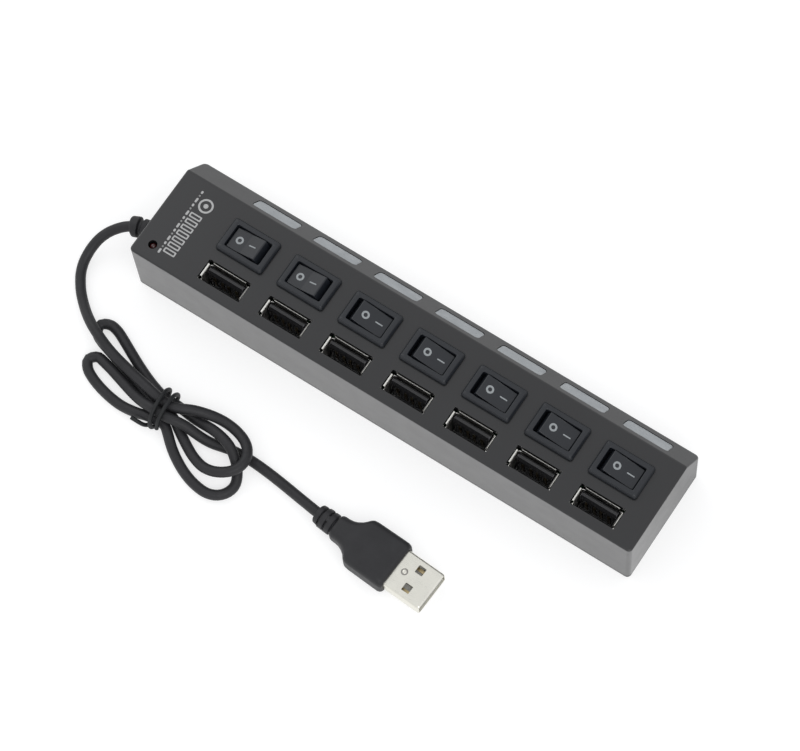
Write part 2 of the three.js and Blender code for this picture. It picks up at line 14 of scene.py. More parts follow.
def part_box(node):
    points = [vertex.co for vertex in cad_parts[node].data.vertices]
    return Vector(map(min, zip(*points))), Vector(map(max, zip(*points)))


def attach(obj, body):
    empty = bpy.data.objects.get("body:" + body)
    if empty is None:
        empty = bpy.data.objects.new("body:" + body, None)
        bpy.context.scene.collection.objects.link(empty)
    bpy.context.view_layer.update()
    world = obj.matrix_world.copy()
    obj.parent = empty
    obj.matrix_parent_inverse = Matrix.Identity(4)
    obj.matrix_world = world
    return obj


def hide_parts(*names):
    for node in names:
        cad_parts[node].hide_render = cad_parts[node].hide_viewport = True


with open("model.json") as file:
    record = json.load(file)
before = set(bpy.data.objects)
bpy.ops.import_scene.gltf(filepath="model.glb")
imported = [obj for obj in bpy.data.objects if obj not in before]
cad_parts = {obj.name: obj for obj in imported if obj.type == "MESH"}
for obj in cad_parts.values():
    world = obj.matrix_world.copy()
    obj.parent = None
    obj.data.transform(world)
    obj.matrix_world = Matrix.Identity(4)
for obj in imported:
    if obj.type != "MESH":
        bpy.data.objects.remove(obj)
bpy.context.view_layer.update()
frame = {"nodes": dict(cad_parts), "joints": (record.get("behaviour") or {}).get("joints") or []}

MM = 0.001
PORTS = range(1, 8)
NODES = frame["nodes"]
HINGES = {joint["child"]: joint for joint in frame["joints"]}

# ---------------------------------------------------------------- outlines


def rounded_rect(width, depth, radius, steps=5):
    """Points of a rounded rectangle centred on the origin, anticlockwise."""
    points = []
    for turn, (sx, sy) in enumerate(((1, 1), (-1, 1), (-1, -1), (1, -1))):
        for i in range(steps + 1):
            angle = math.radians(90) * (turn + i / steps)
            x = sx * (width / 2 - radius) + radius * math.cos(angle)
            y = sy * (depth / 2 - radius) + radius * math.sin(angle)
            points.append((x, y))
    return points


def circle(radius, sides, centre=(0, 0)):
    """Points of a circle, anticlockwise."""
    angles = [2 * math.pi * i / sides for i in range(sides)]
    return [(centre[0] + radius * math.cos(a), centre[1] + radius * math.sin(a)) for a in angles]


def rounded_polygon(corners, steps=4):
    """Points of a polygon whose corners, each (a, b, radius), are rounded off by that radius."""
    points = []
    count = len(corners)
    for i, (a, b, radius) in enumerate(corners):
        here = Vector((a, b))
        back = (Vector(corners[i - 1][:2]) - here).normalized()
        ahead = (Vector(corners[(i + 1) % count][:2]) - here).normalized()
        half = back.angle(ahead) / 2
        if radius == 0 or half > math.radians(89):
            points.append((a, b))
            continue
        middle = here + (back + ahead).normalized() * (radius / math.sin(half))
        start = here + back * (radius / math.tan(half)) - middle
        end = here + ahead * (radius / math.tan(half)) - middle
        sweep = start.angle_signed(end)
        for k in range(steps + 1):
            turned = Matrix.Rotation(-sweep * k / steps, 2) @ start
            points.append(tuple(middle + turned))
    return points


# ---------------------------------------------------------------- solids


def loft(bm, loops, ring=False):
    """Faces between neighbouring loops of points. A ring's last loop joins its first; otherwise
    both ends are capped."""
    rows = [[bm.verts.new(point) for point in loop] for loop in loops]
    pairs = list(zip(rows, rows[1:]))
    if ring:
        pairs.append((rows[-1], rows[0]))
    for near, far in pairs:
        for i in range(len(near)):
            j = (i + 1) % len(near)
            bm.faces.new((near[i], near[j], far[j], far[i]))
    if not ring:
        bm.faces.new(reversed(rows[0]))
        bm.faces.new(rows[-1])


def upright(points, z):
    """A plan outline at height z."""
    return [Vector((x, y, z)) for x, y in points]


def loft_rects(rects, centre=(0, 0), steps=5):
    """A solid through rounded rectangles, each (width, depth, radius, height)."""
    bm = bmesh.new()
    loops = []
    for width, depth, radius, z in rects:
        outline = rounded_rect(width, depth, radius, steps)
        loops.append([Vector((centre[0] + x, centre[1] + y, z)) for x, y in outline])
    loft(bm, loops)
    return bm


def lathe(profile, sides=32, centre=(0, 0)):
    """A solid turned about a vertical line, from (radius, height) pairs, with flat ends."""
    bm = bmesh.new()
    loft(bm, [upright(circle(r, sides, centre), z) for r, z in profile])
    return bm


def prism(points, low, high, axis):
    """A solid with an outline in the two other axes, pulled along x, y or z."""
    def place(a, b, along):
        return Vector({"x": (along, a, b), "y": (a, along, b), "z": (a, b, along)}[axis])
    bm = bmesh.new()
    loft(bm, [[place(a, b, end) for a, b in points] for end in (low, high)])
    return bm


def bar(low, high):
    """A block between two corners."""
    (x0, y0, z0), (x1, y1, z1) = low, high
    return prism([(x0, y0), (x1, y0), (x1, y1), (x0, y1)], z0, z1, "z")


def bevel_edges(bm, edges, width, steps):
    bmesh.ops.bevel(bm, geom=list(edges), offset=width, segments=steps, profile=0.5, affect="EDGES")


def sharp_edges(bm, degrees=30):
    bm.normal_update()
    return [e for e in bm.edges if len(e.link_faces) == 2
            and e.calc_face_angle(0) > math.radians(degrees)]


def soft_bar(low, high, width, steps=3):
    """A block with rounded edges."""
    bm = bar(low, high)
    bevel_edges(bm, bm.edges[:], width, steps)
    return bm


def solid(name, bm):
    """An object from a bmesh, with its faces turned outwards."""
    bmesh.ops.recalc_face_normals(bm, faces=bm.faces[:])
    mesh = bpy.data.meshes.new(name)
    bm.to_mesh(mesh)
    bm.free()
    obj = bpy.data.objects.new(name, mesh)
    bpy.context.scene.collection.objects.link(obj)
    return obj


def cad_solid(name, node):
    """A new solid with the shape of a CAD node, its flat faces whole again."""
    bm = bmesh.new()
    bm.from_mesh(NODES[node].data)
    bmesh.ops.remove_doubles(bm, verts=bm.verts[:], dist=0.001 * MM)
    bmesh.ops.dissolve_limit(bm, angle_limit=math.radians(0.5), verts=bm.verts[:], edges=bm.edges[:])
    return solid(name, bm)


def bake(obj):
    """Turns the object's modifiers into its mesh."""
    depsgraph = bpy.context.evaluated_depsgraph_get()
    mesh = bpy.data.meshes.new_from_object(obj.evaluated_get(depsgraph))
    obj.modifiers.clear()
    obj.data = mesh


def combine(obj, operation, *tools):
    """One boolean after another with the tools, which are used up."""
    for tool in tools:
        modifier = obj.modifiers.new("boolean", "BOOLEAN")
        modifier.operation = operation
        modifier.solver = "EXACT"
        modifier.object = tool
        bake(obj)
        bpy.data.objects.remove(tool)
    return obj


def tidy_mesh(obj):
    """Joins points that a boolean left a hair apart, and flat faces that it split."""
    bm = bmesh.new()
    bm.from_mesh(obj.data)
    bmesh.ops.remove_doubles(bm, verts=bm.verts[:], dist=0.0005 * MM)
    bmesh.ops.dissolve_limit(bm, angle_limit=math.radians(0.3), verts=bm.verts[:], edges=bm.edges[:])
    bm.to_mesh(obj.data)
    bm.free()


def soften(obj, width, steps=2, degrees=35):
    """Rounds every edge sharper than the angle, and shades the faces smooth."""
    modifier = obj.modifiers.new("edges", "BEVEL")
    modifier.width = width
    modifier.segments = steps
    modifier.limit_method = "ANGLE"
    modifier.angle_limit = math.radians(degrees)
    modifier.use_clamp_overlap = True
    shade(obj)
    return obj


def shade(obj):
    """Smooth faces whose normals follow the larger faces."""
    for polygon in obj.data.polygons:
        polygon.use_smooth = True
    weighted = obj.modifiers.new("normals", "WEIGHTED_NORMAL")
    weighted.keep_sharp = True
    return obj


# ---------------------------------------------------------------- sweeps


def ring_centres(node, outward):
    """The centre line of a round CAD rod whose mesh is a row of rings, starting at the end that
    lies furthest along outward."""
    bm = bmesh.new()
    bm.from_mesh(NODES[node].data)
    bmesh.ops.remove_doubles(bm, verts=bm.verts[:], dist=0.001 * MM)
    furthest = max(v.co.dot(outward) for v in bm.verts)
    ring = {v for v in bm.verts if v.co.dot(outward) > furthest - 0.6 * MM}
    seen = set(ring)
    centres = []
    while ring:
        centres.append(sum((v.co for v in ring), Vector()) / len(ring))
        ring = {e.other_vert(v) for v in ring for e in v.link_edges} - seen
        seen |= ring
    bm.free()
    return centres


def smooth_line(points, steps):
    """A Catmull-Rom line through the points, with steps pieces between neighbours."""
    line = []
    ends = [2 * points[0] - points[1], *points, 2 * points[-1] - points[-2]]
    for a, b, c, d in zip(ends, ends[1:], ends[2:], ends[3:]):
        for k in range(steps):
            t = k / steps
            line.append(0.5 * (2 * b + (c - a) * t + (2 * a - 5 * b + 4 * c - d) * t * t
                               + (3 * b - a - 3 * c + d) * t ** 3))
    return [*line, points[-1]]


class Line:
    """A line in space with a steady sideways direction, for sweeping circles along it."""

    def __init__(self, points):
        self.points = points
        self.tangents = []
        last = len(points) - 1
        for i in range(len(points)):
            self.tangents.append((points[min(i + 1, last)] - points[max(i - 1, 0)]).normalized())
        side = self.tangents[0].orthogonal().normalized()
        self.sides = []
        for tangent in self.tangents:
            side = (side - tangent * side.dot(tangent)).normalized()
            self.sides.append(side)
        self.along = [0.0]
        for a, b in zip(points, points[1:]):
            self.along.append(self.along[-1] + (b - a).length)

    def circle(self, distance, radius, sides):
        """A circle around the line, at a distance from its start."""
        i = 0
        while i < len(self.points) - 2 and self.along[i + 1] < distance:
            i += 1
        t = (distance - self.along[i]) / (self.along[i + 1] - self.along[i])
        centre = self.points[i].lerp(self.points[i + 1], t)
        tangent = self.tangents[i].lerp(self.tangents[i + 1], t).normalized()
        side = self.sides[i].lerp(self.sides[i + 1], t)
        side = (side - tangent * side.dot(tangent)).normalized()
        up = tangent.cross(side)
        return [centre + side * a + up * b for a, b in circle(radius, sides)]

    def rod(self, start, end, radius, sides, step, round_ends):
        """A round rod between two distances, with its end edges rounded."""
        inset = [(0, radius - round_ends), (0.3 * round_ends, radius - 0.3 * round_ends),
                 (round_ends, radius)]
        stations = [(start + d, r) for d, r in inset]
        count = max(2, round((end - start - 2 * round_ends) / step))
        for i in range(1, count):
            stations.append((start + round_ends + (end - start - 2 * round_ends) * i / count, radius))
        stations += [(end - d, r) for d, r in reversed(inset)]
        bm = bmesh.new()
        loft(bm, [self.circle(d, r, sides) for d, r in stations])
        return bm

    def sleeve(self, profile, sides):
        """A closed ring around the line, from an outline of (distance, radius) points."""
        bm = bmesh.new()
        loft(bm, [self.circle(d, r, sides) for d, r in profile], ring=True)
        return bm


# ---------------------------------------------------------------- materials


class Nodes:
    """A short way to build one material's nodes."""

    def __init__(self, name):
        self.material = bpy.data.materials.new(name)
        self.material.use_nodes = True
        self.tree = self.material.node_tree
        self.tree.nodes.clear()
        self.output = self.add("ShaderNodeOutputMaterial")
        self.shader = self.add("ShaderNodeBsdfPrincipled")
        self.link(self.shader.outputs["BSDF"], self.output.inputs["Surface"])
        self.place = self.add("ShaderNodeTexCoord").outputs["Object"]

    def add(self, kind, **values):
        node = self.tree.nodes.new(kind)
        for name, value in values.items():
            setattr(node, name, value)
        return node

    def link(self, source, target):
        self.tree.links.new(source, target)

    def set(self, **values):
        """Values for the shader's inputs, with _ for a space."""
        for name, value in values.items():
            self.shader.inputs[name.replace("_", " ")].default_value = value

    def stretched(self, scale):
        """The object's coordinates, scaled along each axis."""
        mapping = self.add("ShaderNodeMapping")
        mapping.inputs["Scale"].default_value = scale
        self.link(self.place, mapping.inputs["Vector"])
        return mapping.outputs["Vector"]

    def noise(self, size, detail=2.0, vector=None, roughness=0.5):
        """Smooth noise whose features are about as large as size."""
        noise = self.add("ShaderNodeTexNoise")
        noise.inputs["Scale"].default_value = 1 / size
        noise.inputs["Detail"].default_value = detail
        noise.inputs["Roughness"].default_value = roughness
        self.link(vector or self.place, noise.inputs["Vector"])
        return noise.outputs["Fac"]

    def spread(self, source, low, high, start=0.3, end=0.7):
        """Maps the source from start..end to low..high."""
        ramp = self.add("ShaderNodeMapRange")
        ramp.inputs["From Min"].default_value = start
        ramp.inputs["From Max"].default_value = end
        ramp.inputs["To Min"].default_value = low
        ramp.inputs["To Max"].default_value = high
        self.link(source, ramp.inputs["Value"])
        return ramp.outputs["Result"]

    def maths(self, operation, a, b):
        node = self.add("ShaderNodeMath", operation=operation)
        for socket, value in zip(node.inputs, (a, b)):
            if isinstance(value, (int, float)):
                socket.default_value = value
            else:
                self.link(value, socket)
        return node.outputs["Value"]

    def blend(self, factor, first, second):
        """A colour between two colours, each a tuple or a socket."""
        mix = self.add("ShaderNodeMix", data_type="RGBA")
        colours = [socket for socket in mix.inputs if socket.type == "RGBA"]
        for socket, value in zip(colours, (first, second)):
            if isinstance(value, tuple):
                socket.default_value = (*value, 1)
            else:
                self.link(value, socket)
        self.link(factor, mix.inputs["Factor"])
        return next(socket for socket in mix.outputs if socket.type == "RGBA")

    def edges(self, radius):
        """0 on flat faces and up to 1 where the surface turns within the radius."""
        bevel = self.add("ShaderNodeBevel", samples=4)
        bevel.inputs["Radius"].default_value = radius
        geometry = self.add("ShaderNodeNewGeometry")
        dot = self.add("ShaderNodeVectorMath", operation="DOT_PRODUCT")
        self.link(bevel.outputs["Normal"], dot.inputs[0])
        self.link(geometry.outputs["Normal"], dot.inputs[1])
        return self.spread(dot.outputs["Value"], 1, 0, 0.75, 0.99)

    def bump(self, *layers):
        """Stacks (height source, depth in metres) layers as bump."""
        normal = None
        for source, depth in layers:
            bump = self.add("ShaderNodeBump")
            bump.inputs["Strength"].default_value = 1.0
            bump.inputs["Distance"].default_value = depth
            self.link(source, bump.inputs["Height"])
            if normal is not None:
                self.link(normal, bump.inputs["Normal"])
            normal = bump.outputs["Normal"]
        self.link(normal, self.shader.inputs["Normal"])

    def colour(self, source):
        self.link(source, self.shader.inputs["Base Color"])

    def roughness(self, source):
        self.link(source, self.shader.inputs["Roughness"])


def tinted(colour, factor):
    return tuple(c * factor for c in colour)


def moulded_plastic(name, colour, roughness, grain, grain_depth, wear_and_highlight=0.6, rim=0.35 * MM, gloss=0.0):
    """Injection-moulded plastic: an etched grain, faint flow marks, and edges smoother and lighter as far in
    as the rim,
    by a factor: rubbed wear when it is small, a painted highlight when it is large. Gloss is the strength of
    a smooth skin over the grain."""
    m = Nodes(name)
    edge = m.edges(rim)
    flow = m.noise(30 * MM, 2)
    speckle = m.noise(grain, 2)
    shade_of = m.blend(m.spread(flow, 0, 1), tinted(colour, 0.95), tinted(colour, 1.06))
    m.colour(m.blend(edge, shade_of, tinted(colour, 1 + wear_and_highlight)))
    rough = m.spread(m.noise(6 * MM, 2), roughness - 0.02, roughness + 0.02)
    m.roughness(m.maths("SUBTRACT", rough, m.maths("MULTIPLY", edge, 0.1)))
    m.bump((speckle, grain_depth))
    m.set(Coat_Weight=gloss, Coat_Roughness=0.16, Specular_IOR_Level=0.5 - 0.25 * gloss)
    return m.material


def soft_plastic(name, colour, roughness):
    """Flexible vinyl: a very fine orange peel, faint handling marks and a little sheen."""
    m = Nodes(name)
    marks = m.noise(5 * MM, 4)
    m.colour(m.blend(m.spread(marks, 0, 1), tinted(colour, 0.88), tinted(colour, 1.15)))
    m.roughness(m.spread(m.noise(1.2 * MM, 4), roughness - 0.05, roughness + 0.05))
    m.bump((m.noise(2.4 * MM, 2), 0.03 * MM), (m.noise(0.28 * MM, 3), 0.007 * MM))
    m.set(Specular_IOR_Level=0.35)
    return m.material


def milky_plastic():
    """Translucent light guide: cloudy, brighter in the middle, with a satin top face."""
    m = Nodes("milky_plastic")
    cloud = m.noise(3.5 * MM, 4)
    m.colour(m.blend(m.spread(cloud, 0, 1), (0.29, 0.31, 0.325), (0.35, 0.37, 0.385)))
    m.roughness(m.spread(m.noise(0.9 * MM, 3), 0.26, 0.38))
    m.set(Subsurface_Weight=0.35, Subsurface_Radius=(1.0, 1.0, 1.0), Subsurface_Scale=1.2 * MM)
    m.bump((m.noise(4 * MM, 2), 0.03 * MM), (m.noise(0.3 * MM, 2), 0.003 * MM))
    return m.material


def plated_metal(name, colour, roughness, along=(1, 1, 1)):
    """Plated sheet: fine rolling lines along one direction, small stains and soft dents."""
    m = Nodes(name)
    lines = m.noise(0.12 * MM, 3, m.stretched(along), 0.7)
    stain = m.noise(4 * MM, 2)
    m.colour(m.blend(m.spread(stain, 0, 1), tinted(colour, 0.97), colour))
    rough = m.spread(lines, roughness - 0.05, roughness + 0.08)
    m.roughness(m.maths("ADD", rough, m.spread(stain, 0, 0.07)))
    m.set(Metallic=1.0)
    m.bump((m.noise(3 * MM, 2), 0.01 * MM), (lines, 0.0012 * MM))
    return m.material


def board_laminate():
    """Green solder mask over copper tracks."""
    m = Nodes("board_laminate")
    tracks = m.add("ShaderNodeTexBrick", offset=0.35)
    tracks.inputs["Scale"].default_value = 320
    tracks.inputs["Mortar Size"].default_value = 0.12
    m.link(m.place, tracks.inputs["Vector"])
    m.colour(m.blend(tracks.outputs["Fac"], (0.012, 0.10, 0.035), (0.03, 0.20, 0.07)))
    m.roughness(m.spread(m.noise(0.8 * MM, 3), 0.28, 0.42))
    m.bump((tracks.outputs["Fac"], 0.03 * MM), (m.noise(0.25 * MM, 3), 0.006 * MM))
    m.set(Coat_Weight=0.3, Coat_Roughness=0.2)
    return m.material


def glowing_epoxy(name, colour, clear):
    """Cast lamp resin: tinted, a little cloudy, with a glossy skin."""
    m = Nodes(name)
    m.colour(m.blend(m.spread(m.noise(0.6 * MM, 3), 0, 1), tinted(colour, 0.8), colour))
    m.roughness(m.spread(m.noise(0.4 * MM, 2), 0.12, 0.22))
    m.set(Transmission_Weight=clear, IOR=1.5, Coat_Weight=0.4, Coat_Roughness=0.08)
    m.bump((m.noise(0.8 * MM, 2), 0.008 * MM))
    return m.material


def print_ink(name, colour):
    """Pad-printed white ink, thin enough that the grain below breaks it up."""
    m = Nodes(name)
    cover = m.spread(m.noise(0.22 * MM, 3), 0, 1, 0.25, 0.5)
    m.colour(m.blend(cover, tinted(colour, 0.55), colour))
    m.roughness(m.spread(m.noise(0.3 * MM, 2), 0.45, 0.65))
    m.bump((m.noise(0.25 * MM, 2), 0.012 * MM))
    return m.material


def floor_paper():
    """Matt white paper that stays nearly white in the shadows, as on a lit studio table. The part
    behind the hub throws less light on it."""
    m = Nodes("floor_paper")
    m.colour(m.blend(m.spread(m.noise(0.15, 3), 0, 1), (0.44, 0.44, 0.44), (0.46, 0.46, 0.46)))
    m.roughness(m.spread(m.noise(0.01, 2), 0.7, 0.8))
    parts = m.add("ShaderNodeSeparateXYZ")
    m.link(m.place, parts.inputs["Vector"])
    behind = m.spread(parts.outputs["Y"], 1, 0.25, -20 * MM, 40 * MM)
    seen = m.add("ShaderNodeLightPath").outputs["Is Camera Ray"]
    glow = m.maths("MULTIPLY", 0.62, m.maths("MAXIMUM", behind, seen))
    m.link(glow, m.shader.inputs["Emission Strength"])
    m.set(Emission_Color=(1, 1, 1, 1), Specular_IOR_Level=0.2)
    m.bump((m.noise(2 * MM, 3), 0.02 * MM))
    return m.material


MATERIALS = {
    "housing_plastic": moulded_plastic("housing_plastic", (0.012, 0.012, 0.013), 0.34,
                                       0.3 * MM, 0.003 * MM, gloss=0.45),
    "switch_plastic": moulded_plastic("switch_plastic", (0.009, 0.011, 0.015), 0.36,
                                      0.3 * MM, 0.002 * MM, wear_and_highlight=0.2),
    "milky_plastic": milky_plastic(),
    # Edges lightened about fifteenfold: a painted highlight along the port tongues' ridges and the jack's
    # edges.
    "insulator_plastic": moulded_plastic("insulator_plastic", (0.012, 0.012, 0.013), 0.25,
                                         0.25 * MM, 0.002 * MM, wear_and_highlight=14, rim=0.2 * MM),
    "plug_plastic": moulded_plastic("plug_plastic", (0.46, 0.455, 0.43), 0.42, 0.25 * MM, 0.002 * MM,
                                    wear_and_highlight=0.05),
    "plated_steel": plated_metal("plated_steel", (0.90, 0.89, 0.85), 0.26, (0.08, 1, 1)),
    "screw_steel": plated_metal("screw_steel", (0.42, 0.43, 0.45), 0.3),
    "contact_gold": plated_metal("contact_gold", (0.52, 0.42, 0.24), 0.34, (0.1, 1, 1)),
    "cable_jacket": soft_plastic("cable_jacket", (0.018, 0.018, 0.020), 0.5),
    "tie_wire": soft_plastic("tie_wire", (0.009, 0.010, 0.011), 0.55),
    "cap_rubber": soft_plastic("cap_rubber", (0.010, 0.010, 0.010), 0.75),
    "board_laminate": board_laminate(),
    "chip_epoxy": moulded_plastic("chip_epoxy", (0.014, 0.014, 0.015), 0.5, 0.12 * MM, 0.006 * MM),
    "lamp_epoxy": glowing_epoxy("lamp_epoxy", (0.05, 0.006, 0.006), 0.3),
    "surface_led": glowing_epoxy("surface_led", (0.85, 0.78, 0.45), 0.2),
}
ROOF_INK = print_ink("roof_ink", (0.40, 0.40, 0.40))
ROCKER_INK = print_ink("rocker_ink", (0.29, 0.31, 0.32))
PLUG_STEEL = plated_metal("plug_steel", (0.80, 0.785, 0.71), 0.26, (0.08, 1, 1))
# A darker, rougher steel: bare at cut tips, and painted shade in the plug's dimple groove.
BARE_AND_SHADED_STEEL = plated_metal("bare_and_shaded_steel", (0.34, 0.33, 0.31), 0.45)
# Bronze darkened well below its own tone: painted shade for the springs deep in the ports.
SHADED_SPRING_BRONZE = plated_metal("shaded_spring_bronze", (0.16, 0.13, 0.09), 0.4, (0.1, 1, 1))


def piece(obj, slot, body="hub", stands_for=(), material=None):
    """Makes obj a piece of the hub: its slot's finish or one of its own, its body and the CAD nodes
    it stands for."""
    obj.data.materials.clear()
    obj.data.materials.append(material or MATERIALS[slot])
    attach(obj, body)
    if stands_for:
        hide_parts(*stands_for)
    return obj


def bare_and_shaded(obj, is_bare_and_shaded):
    """Gives the faces that the test picks a darker, rougher steel: bare steel on the port tabs' cut tips, and
    painted shade in the plug's dimple groove.
    """
    obj.data.materials.append(BARE_AND_SHADED_STEEL)
    for face in obj.data.polygons:
        if is_bare_and_shaded(face):
            face.material_index = 1


def keep(node, slot, width=0.05 * MM):
    """Shows a CAD node as it is, with its edges eased."""
    obj = NODES[node]
    obj.modifiers.new("weld", "WELD").merge_threshold = 0.001 * MM
    obj.data.materials.clear()
    obj.data.materials.append(MATERIALS[slot])
    soften(obj, width)


# ---------------------------------------------------------------- casing

HUB_LOW, HUB_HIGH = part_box("top_housing")
COVER_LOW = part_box("bottom_cover")[0]
CORNER = 1.25 * MM
TOP_EDGE = 0.5 * MM
SKIN = 0.004 * MM
SLOPE_FRONT = HUB_HIGH.y - 7.0 * MM
SLOPE_LOW = HUB_HIGH.z - 8.3 * MM


def rounding_body(bottom):
    """The casing's outside with rounded corners and edges, a hair inside the CAD's faces."""
    y0, y1 = HUB_LOW.y + SKIN, HUB_HIGH.y - SKIN
    x0, x1 = HUB_LOW.x + SKIN, HUB_HIGH.x - SKIN
    top = HUB_HIGH.z - SKIN
    section = [(y0, bottom), (y1, bottom), (y1, SLOPE_LOW - SKIN), (SLOPE_FRONT - SKIN, top), (y0, top)]
    bm = prism(section, x0, x1, "x")
    upright_edges = [e for e in bm.edges
                     if abs((e.verts[0].co - e.verts[1].co).normalized().z) > 0.999]
    bevel_edges(bm, upright_edges, CORNER, 6)
    upper = [e for e in sharp_edges(bm, 25) if min(v.co.z for v in e.verts) > bottom + 0.5 * MM]
    bevel_edges(bm, upper, TOP_EDGE, 4)
    return bm


def housing():
    shell = cad_solid("housing", "top_housing")
    combine(shell, "INTERSECT", solid("outside", rounding_body(HUB_LOW.z - 2 * MM)))
    tidy_mesh(shell)
    soften(shell, 0.12 * MM, 2, 40)
    piece(shell, "housing_plastic", stands_for=["top_housing"])


def cover():
    base = cad_solid("base_cover", "bottom_cover")
    body = rounding_body(COVER_LOW.z + SKIN)
    low_edges = [e for e in sharp_edges(body, 60)
                 if max(v.co.z for v in e.verts) < COVER_LOW.z + 0.1 * MM]
    bevel_edges(body, low_edges, 0.35 * MM, 3)
    combine(base, "INTERSECT", solid("underside", body))
    tidy_mesh(base)
    soften(base, 0.1 * MM, 2, 40)
    piece(base, "housing_plastic", stands_for=["bottom_cover"])


def light_windows():
    windows = cad_solid("light_windows", "light_bar")
    soften(windows, 0.25 * MM, 3, 40)
    piece(windows, "milky_plastic", stands_for=["light_bar"])


def power_lamp():
    low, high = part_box("power_led")
    x, y = (low.x + high.x) / 2, (low.y + high.y) / 2
    radius = 1.1 * MM
    dome = [(radius * math.cos(math.radians(a)), high.z - radius + radius * math.sin(math.radians(a)))
            for a in (0, 20, 40, 60, 78)]
    collar_top = low.z + 6.4 * MM
    collar = [(1.3 * MM, collar_top - 0.8 * MM), (1.5 * MM, collar_top - 0.7 * MM),
              (1.5 * MM, collar_top - 0.1 * MM), (1.4 * MM, collar_top), (radius, collar_top)]
    lamp = solid("power_lamp", lathe(collar + dome, 32, (x, y)))
    for side in (-1, 1):
        lead = lathe([(0.25 * MM, low.z), (0.25 * MM, collar_top - 0.5 * MM)], 10,
                     (x + side * 0.6 * MM, y))
        combine(lamp, "UNION", solid("lead", lead))
    piece(shade(lamp), "lamp_epoxy", stands_for=["power_led"])


def screw_plug(k):
    """The rubber plug over a screw: a flat disc with a soft rim."""
    low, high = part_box(f"screw_cap_{k}")
    centre = ((low.x + high.x) / 2, (low.y + high.y) / 2)
    r = (high.x - low.x) / 2
    profile = [(r - 0.9 * MM, low.z + 0.12 * MM), (r - 0.7 * MM, low.z + 0.02 * MM),
               (r - 0.25 * MM, low.z), (r - 0.07 * MM, low.z + 0.07 * MM), (r, low.z + 0.25 * MM),
               (r, high.z - 0.1 * MM), (r - 0.1 * MM, high.z)]
    plug = solid(f"screw_plug_{k}", lathe(profile, 40, centre))
    piece(shade(plug), "cap_rubber", stands_for=[f"screw_cap_{k}"])


# ---------------------------------------------------------------- ports

SHEET = 0.3 * MM
SPRING_XS = [-3.5, -1.0, 1.0, 3.5]


def flare_tab(length, offset, top, curl, bend, thick):
    """One edge of a port's mouth: a strip along X whose top curls outwards by an angle, its inner
    face offset from the port's middle."""
    inner = [(0, -2.6 * MM)]
    for k in range(6):
        angle = math.radians(curl) * k / 5
        inner.append((bend * (1 - math.cos(angle)), -bend + bend * math.sin(angle)))
    outer = []
    for i in range(len(inner) - 1, -1, -1):
        ahead = Vector(inner[min(i + 1, len(inner) - 1)]) - Vector(inner[max(i - 1, 0)])
        outer.append(tuple(Vector(inner[i]) + Vector((ahead.y, -ahead.x)).normalized() * thick))
    shift = top - max(z for _, z in inner)
    points = [(offset + a, b + shift) for a, b in inner + outer]
    return prism(points, -length / 2, length / 2, "x")


def port_shell(k):
    """A folded sleeve with a curled edge on three sides of its mouth; the front side is plain."""
    low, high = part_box(f"port_shell_{k}")
    x, y = (low.x + high.x) / 2, (low.y + high.y) / 2
    width, depth = high.x - low.x, high.y - low.y
    top = high.z - 2.1 * MM
    sizes = [(width, depth, 0.6 * MM, low.z), (width, depth, 0.6 * MM, top),
             (width - 2 * SHEET, depth - 2 * SHEET, 0.35 * MM, top),
             (width - 2 * SHEET, depth - 2 * SHEET, 0.35 * MM, low.z)]
    bm = bmesh.new()
    loft(bm, [upright(rounded_rect(w, d, r), z) for w, d, r, z in sizes], ring=True)
    shell = solid(f"port_sleeve_{k}", bm)
    rear = (10.6 * MM, depth / 2 - SHEET, high.z, 25, 0.8 * MM, 0.26 * MM)
    end = (4.1 * MM, width / 2 - SHEET - 0.35 * MM, high.z, 55, 1.5 * MM, 0.4 * MM)
    for measures, turn in ((rear, 0), (end, 90), (end, 270)):
        tab = solid("tab", flare_tab(*measures))
        tab.data.transform(Matrix.Rotation(math.radians(turn), 4, "Z"))
        combine(shell, "UNION", tab)
    soften(shell, 0.04 * MM, 1, 40)
    shell.location = (x, y, 0)
    piece(shell, "plated_steel", stands_for=[f"port_shell_{k}"])
    bare_and_shaded(shell, lambda face: face.normal.z > 0.3 and face.normal.xy.dot(face.center.xy) > 0.1 * MM)


def port_block(k):
    """The port's black insert: a base and a tongue with a ridged tip and contact grooves."""
    low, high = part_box(f"port_insulator_{k}")
    x = (low.x + high.x) / 2
    base_top = low.z + 4.75 * MM
    block = solid(f"port_block_{k}", soft_bar((low.x, low.y, low.z), (high.x, high.y, base_top),
                                              0.2 * MM, 2))
    back = high.y - 0.52 * MM
    front = back - 1.84 * MM
    ridge = (front + back) / 2
    side = [(front, base_top - 1 * MM, 0), (back, base_top - 1 * MM, 0),
            (back, high.z - 0.5 * MM, 0.2 * MM), (ridge + 0.3 * MM, high.z, 0.1 * MM),
            (ridge - 0.3 * MM, high.z, 0.1 * MM), (front, high.z - 1.1 * MM, 0.2 * MM)]
    half = (high.x - low.x) / 2 - 0.55 * MM
    tongue = prism(rounded_polygon(side, 2), x - half, x + half, "x")
    combine(block, "UNION", solid("tongue", tongue))
    for offset in SPRING_XS:
        at = x + offset * MM
        groove = bar((at - 0.62 * MM, front - 1 * MM, base_top + 0.6 * MM),
                     (at + 0.62 * MM, front + 0.3 * MM, high.z - 2.4 * MM))
        combine(block, "DIFFERENCE", solid("groove", groove))
    soften(block, 0.05 * MM, 1, 40)
    piece(block, "insulator_plastic", stands_for=[f"port_insulator_{k}"])
    port_springs(k, x, front, base_top, high.z - 1.6 * MM)


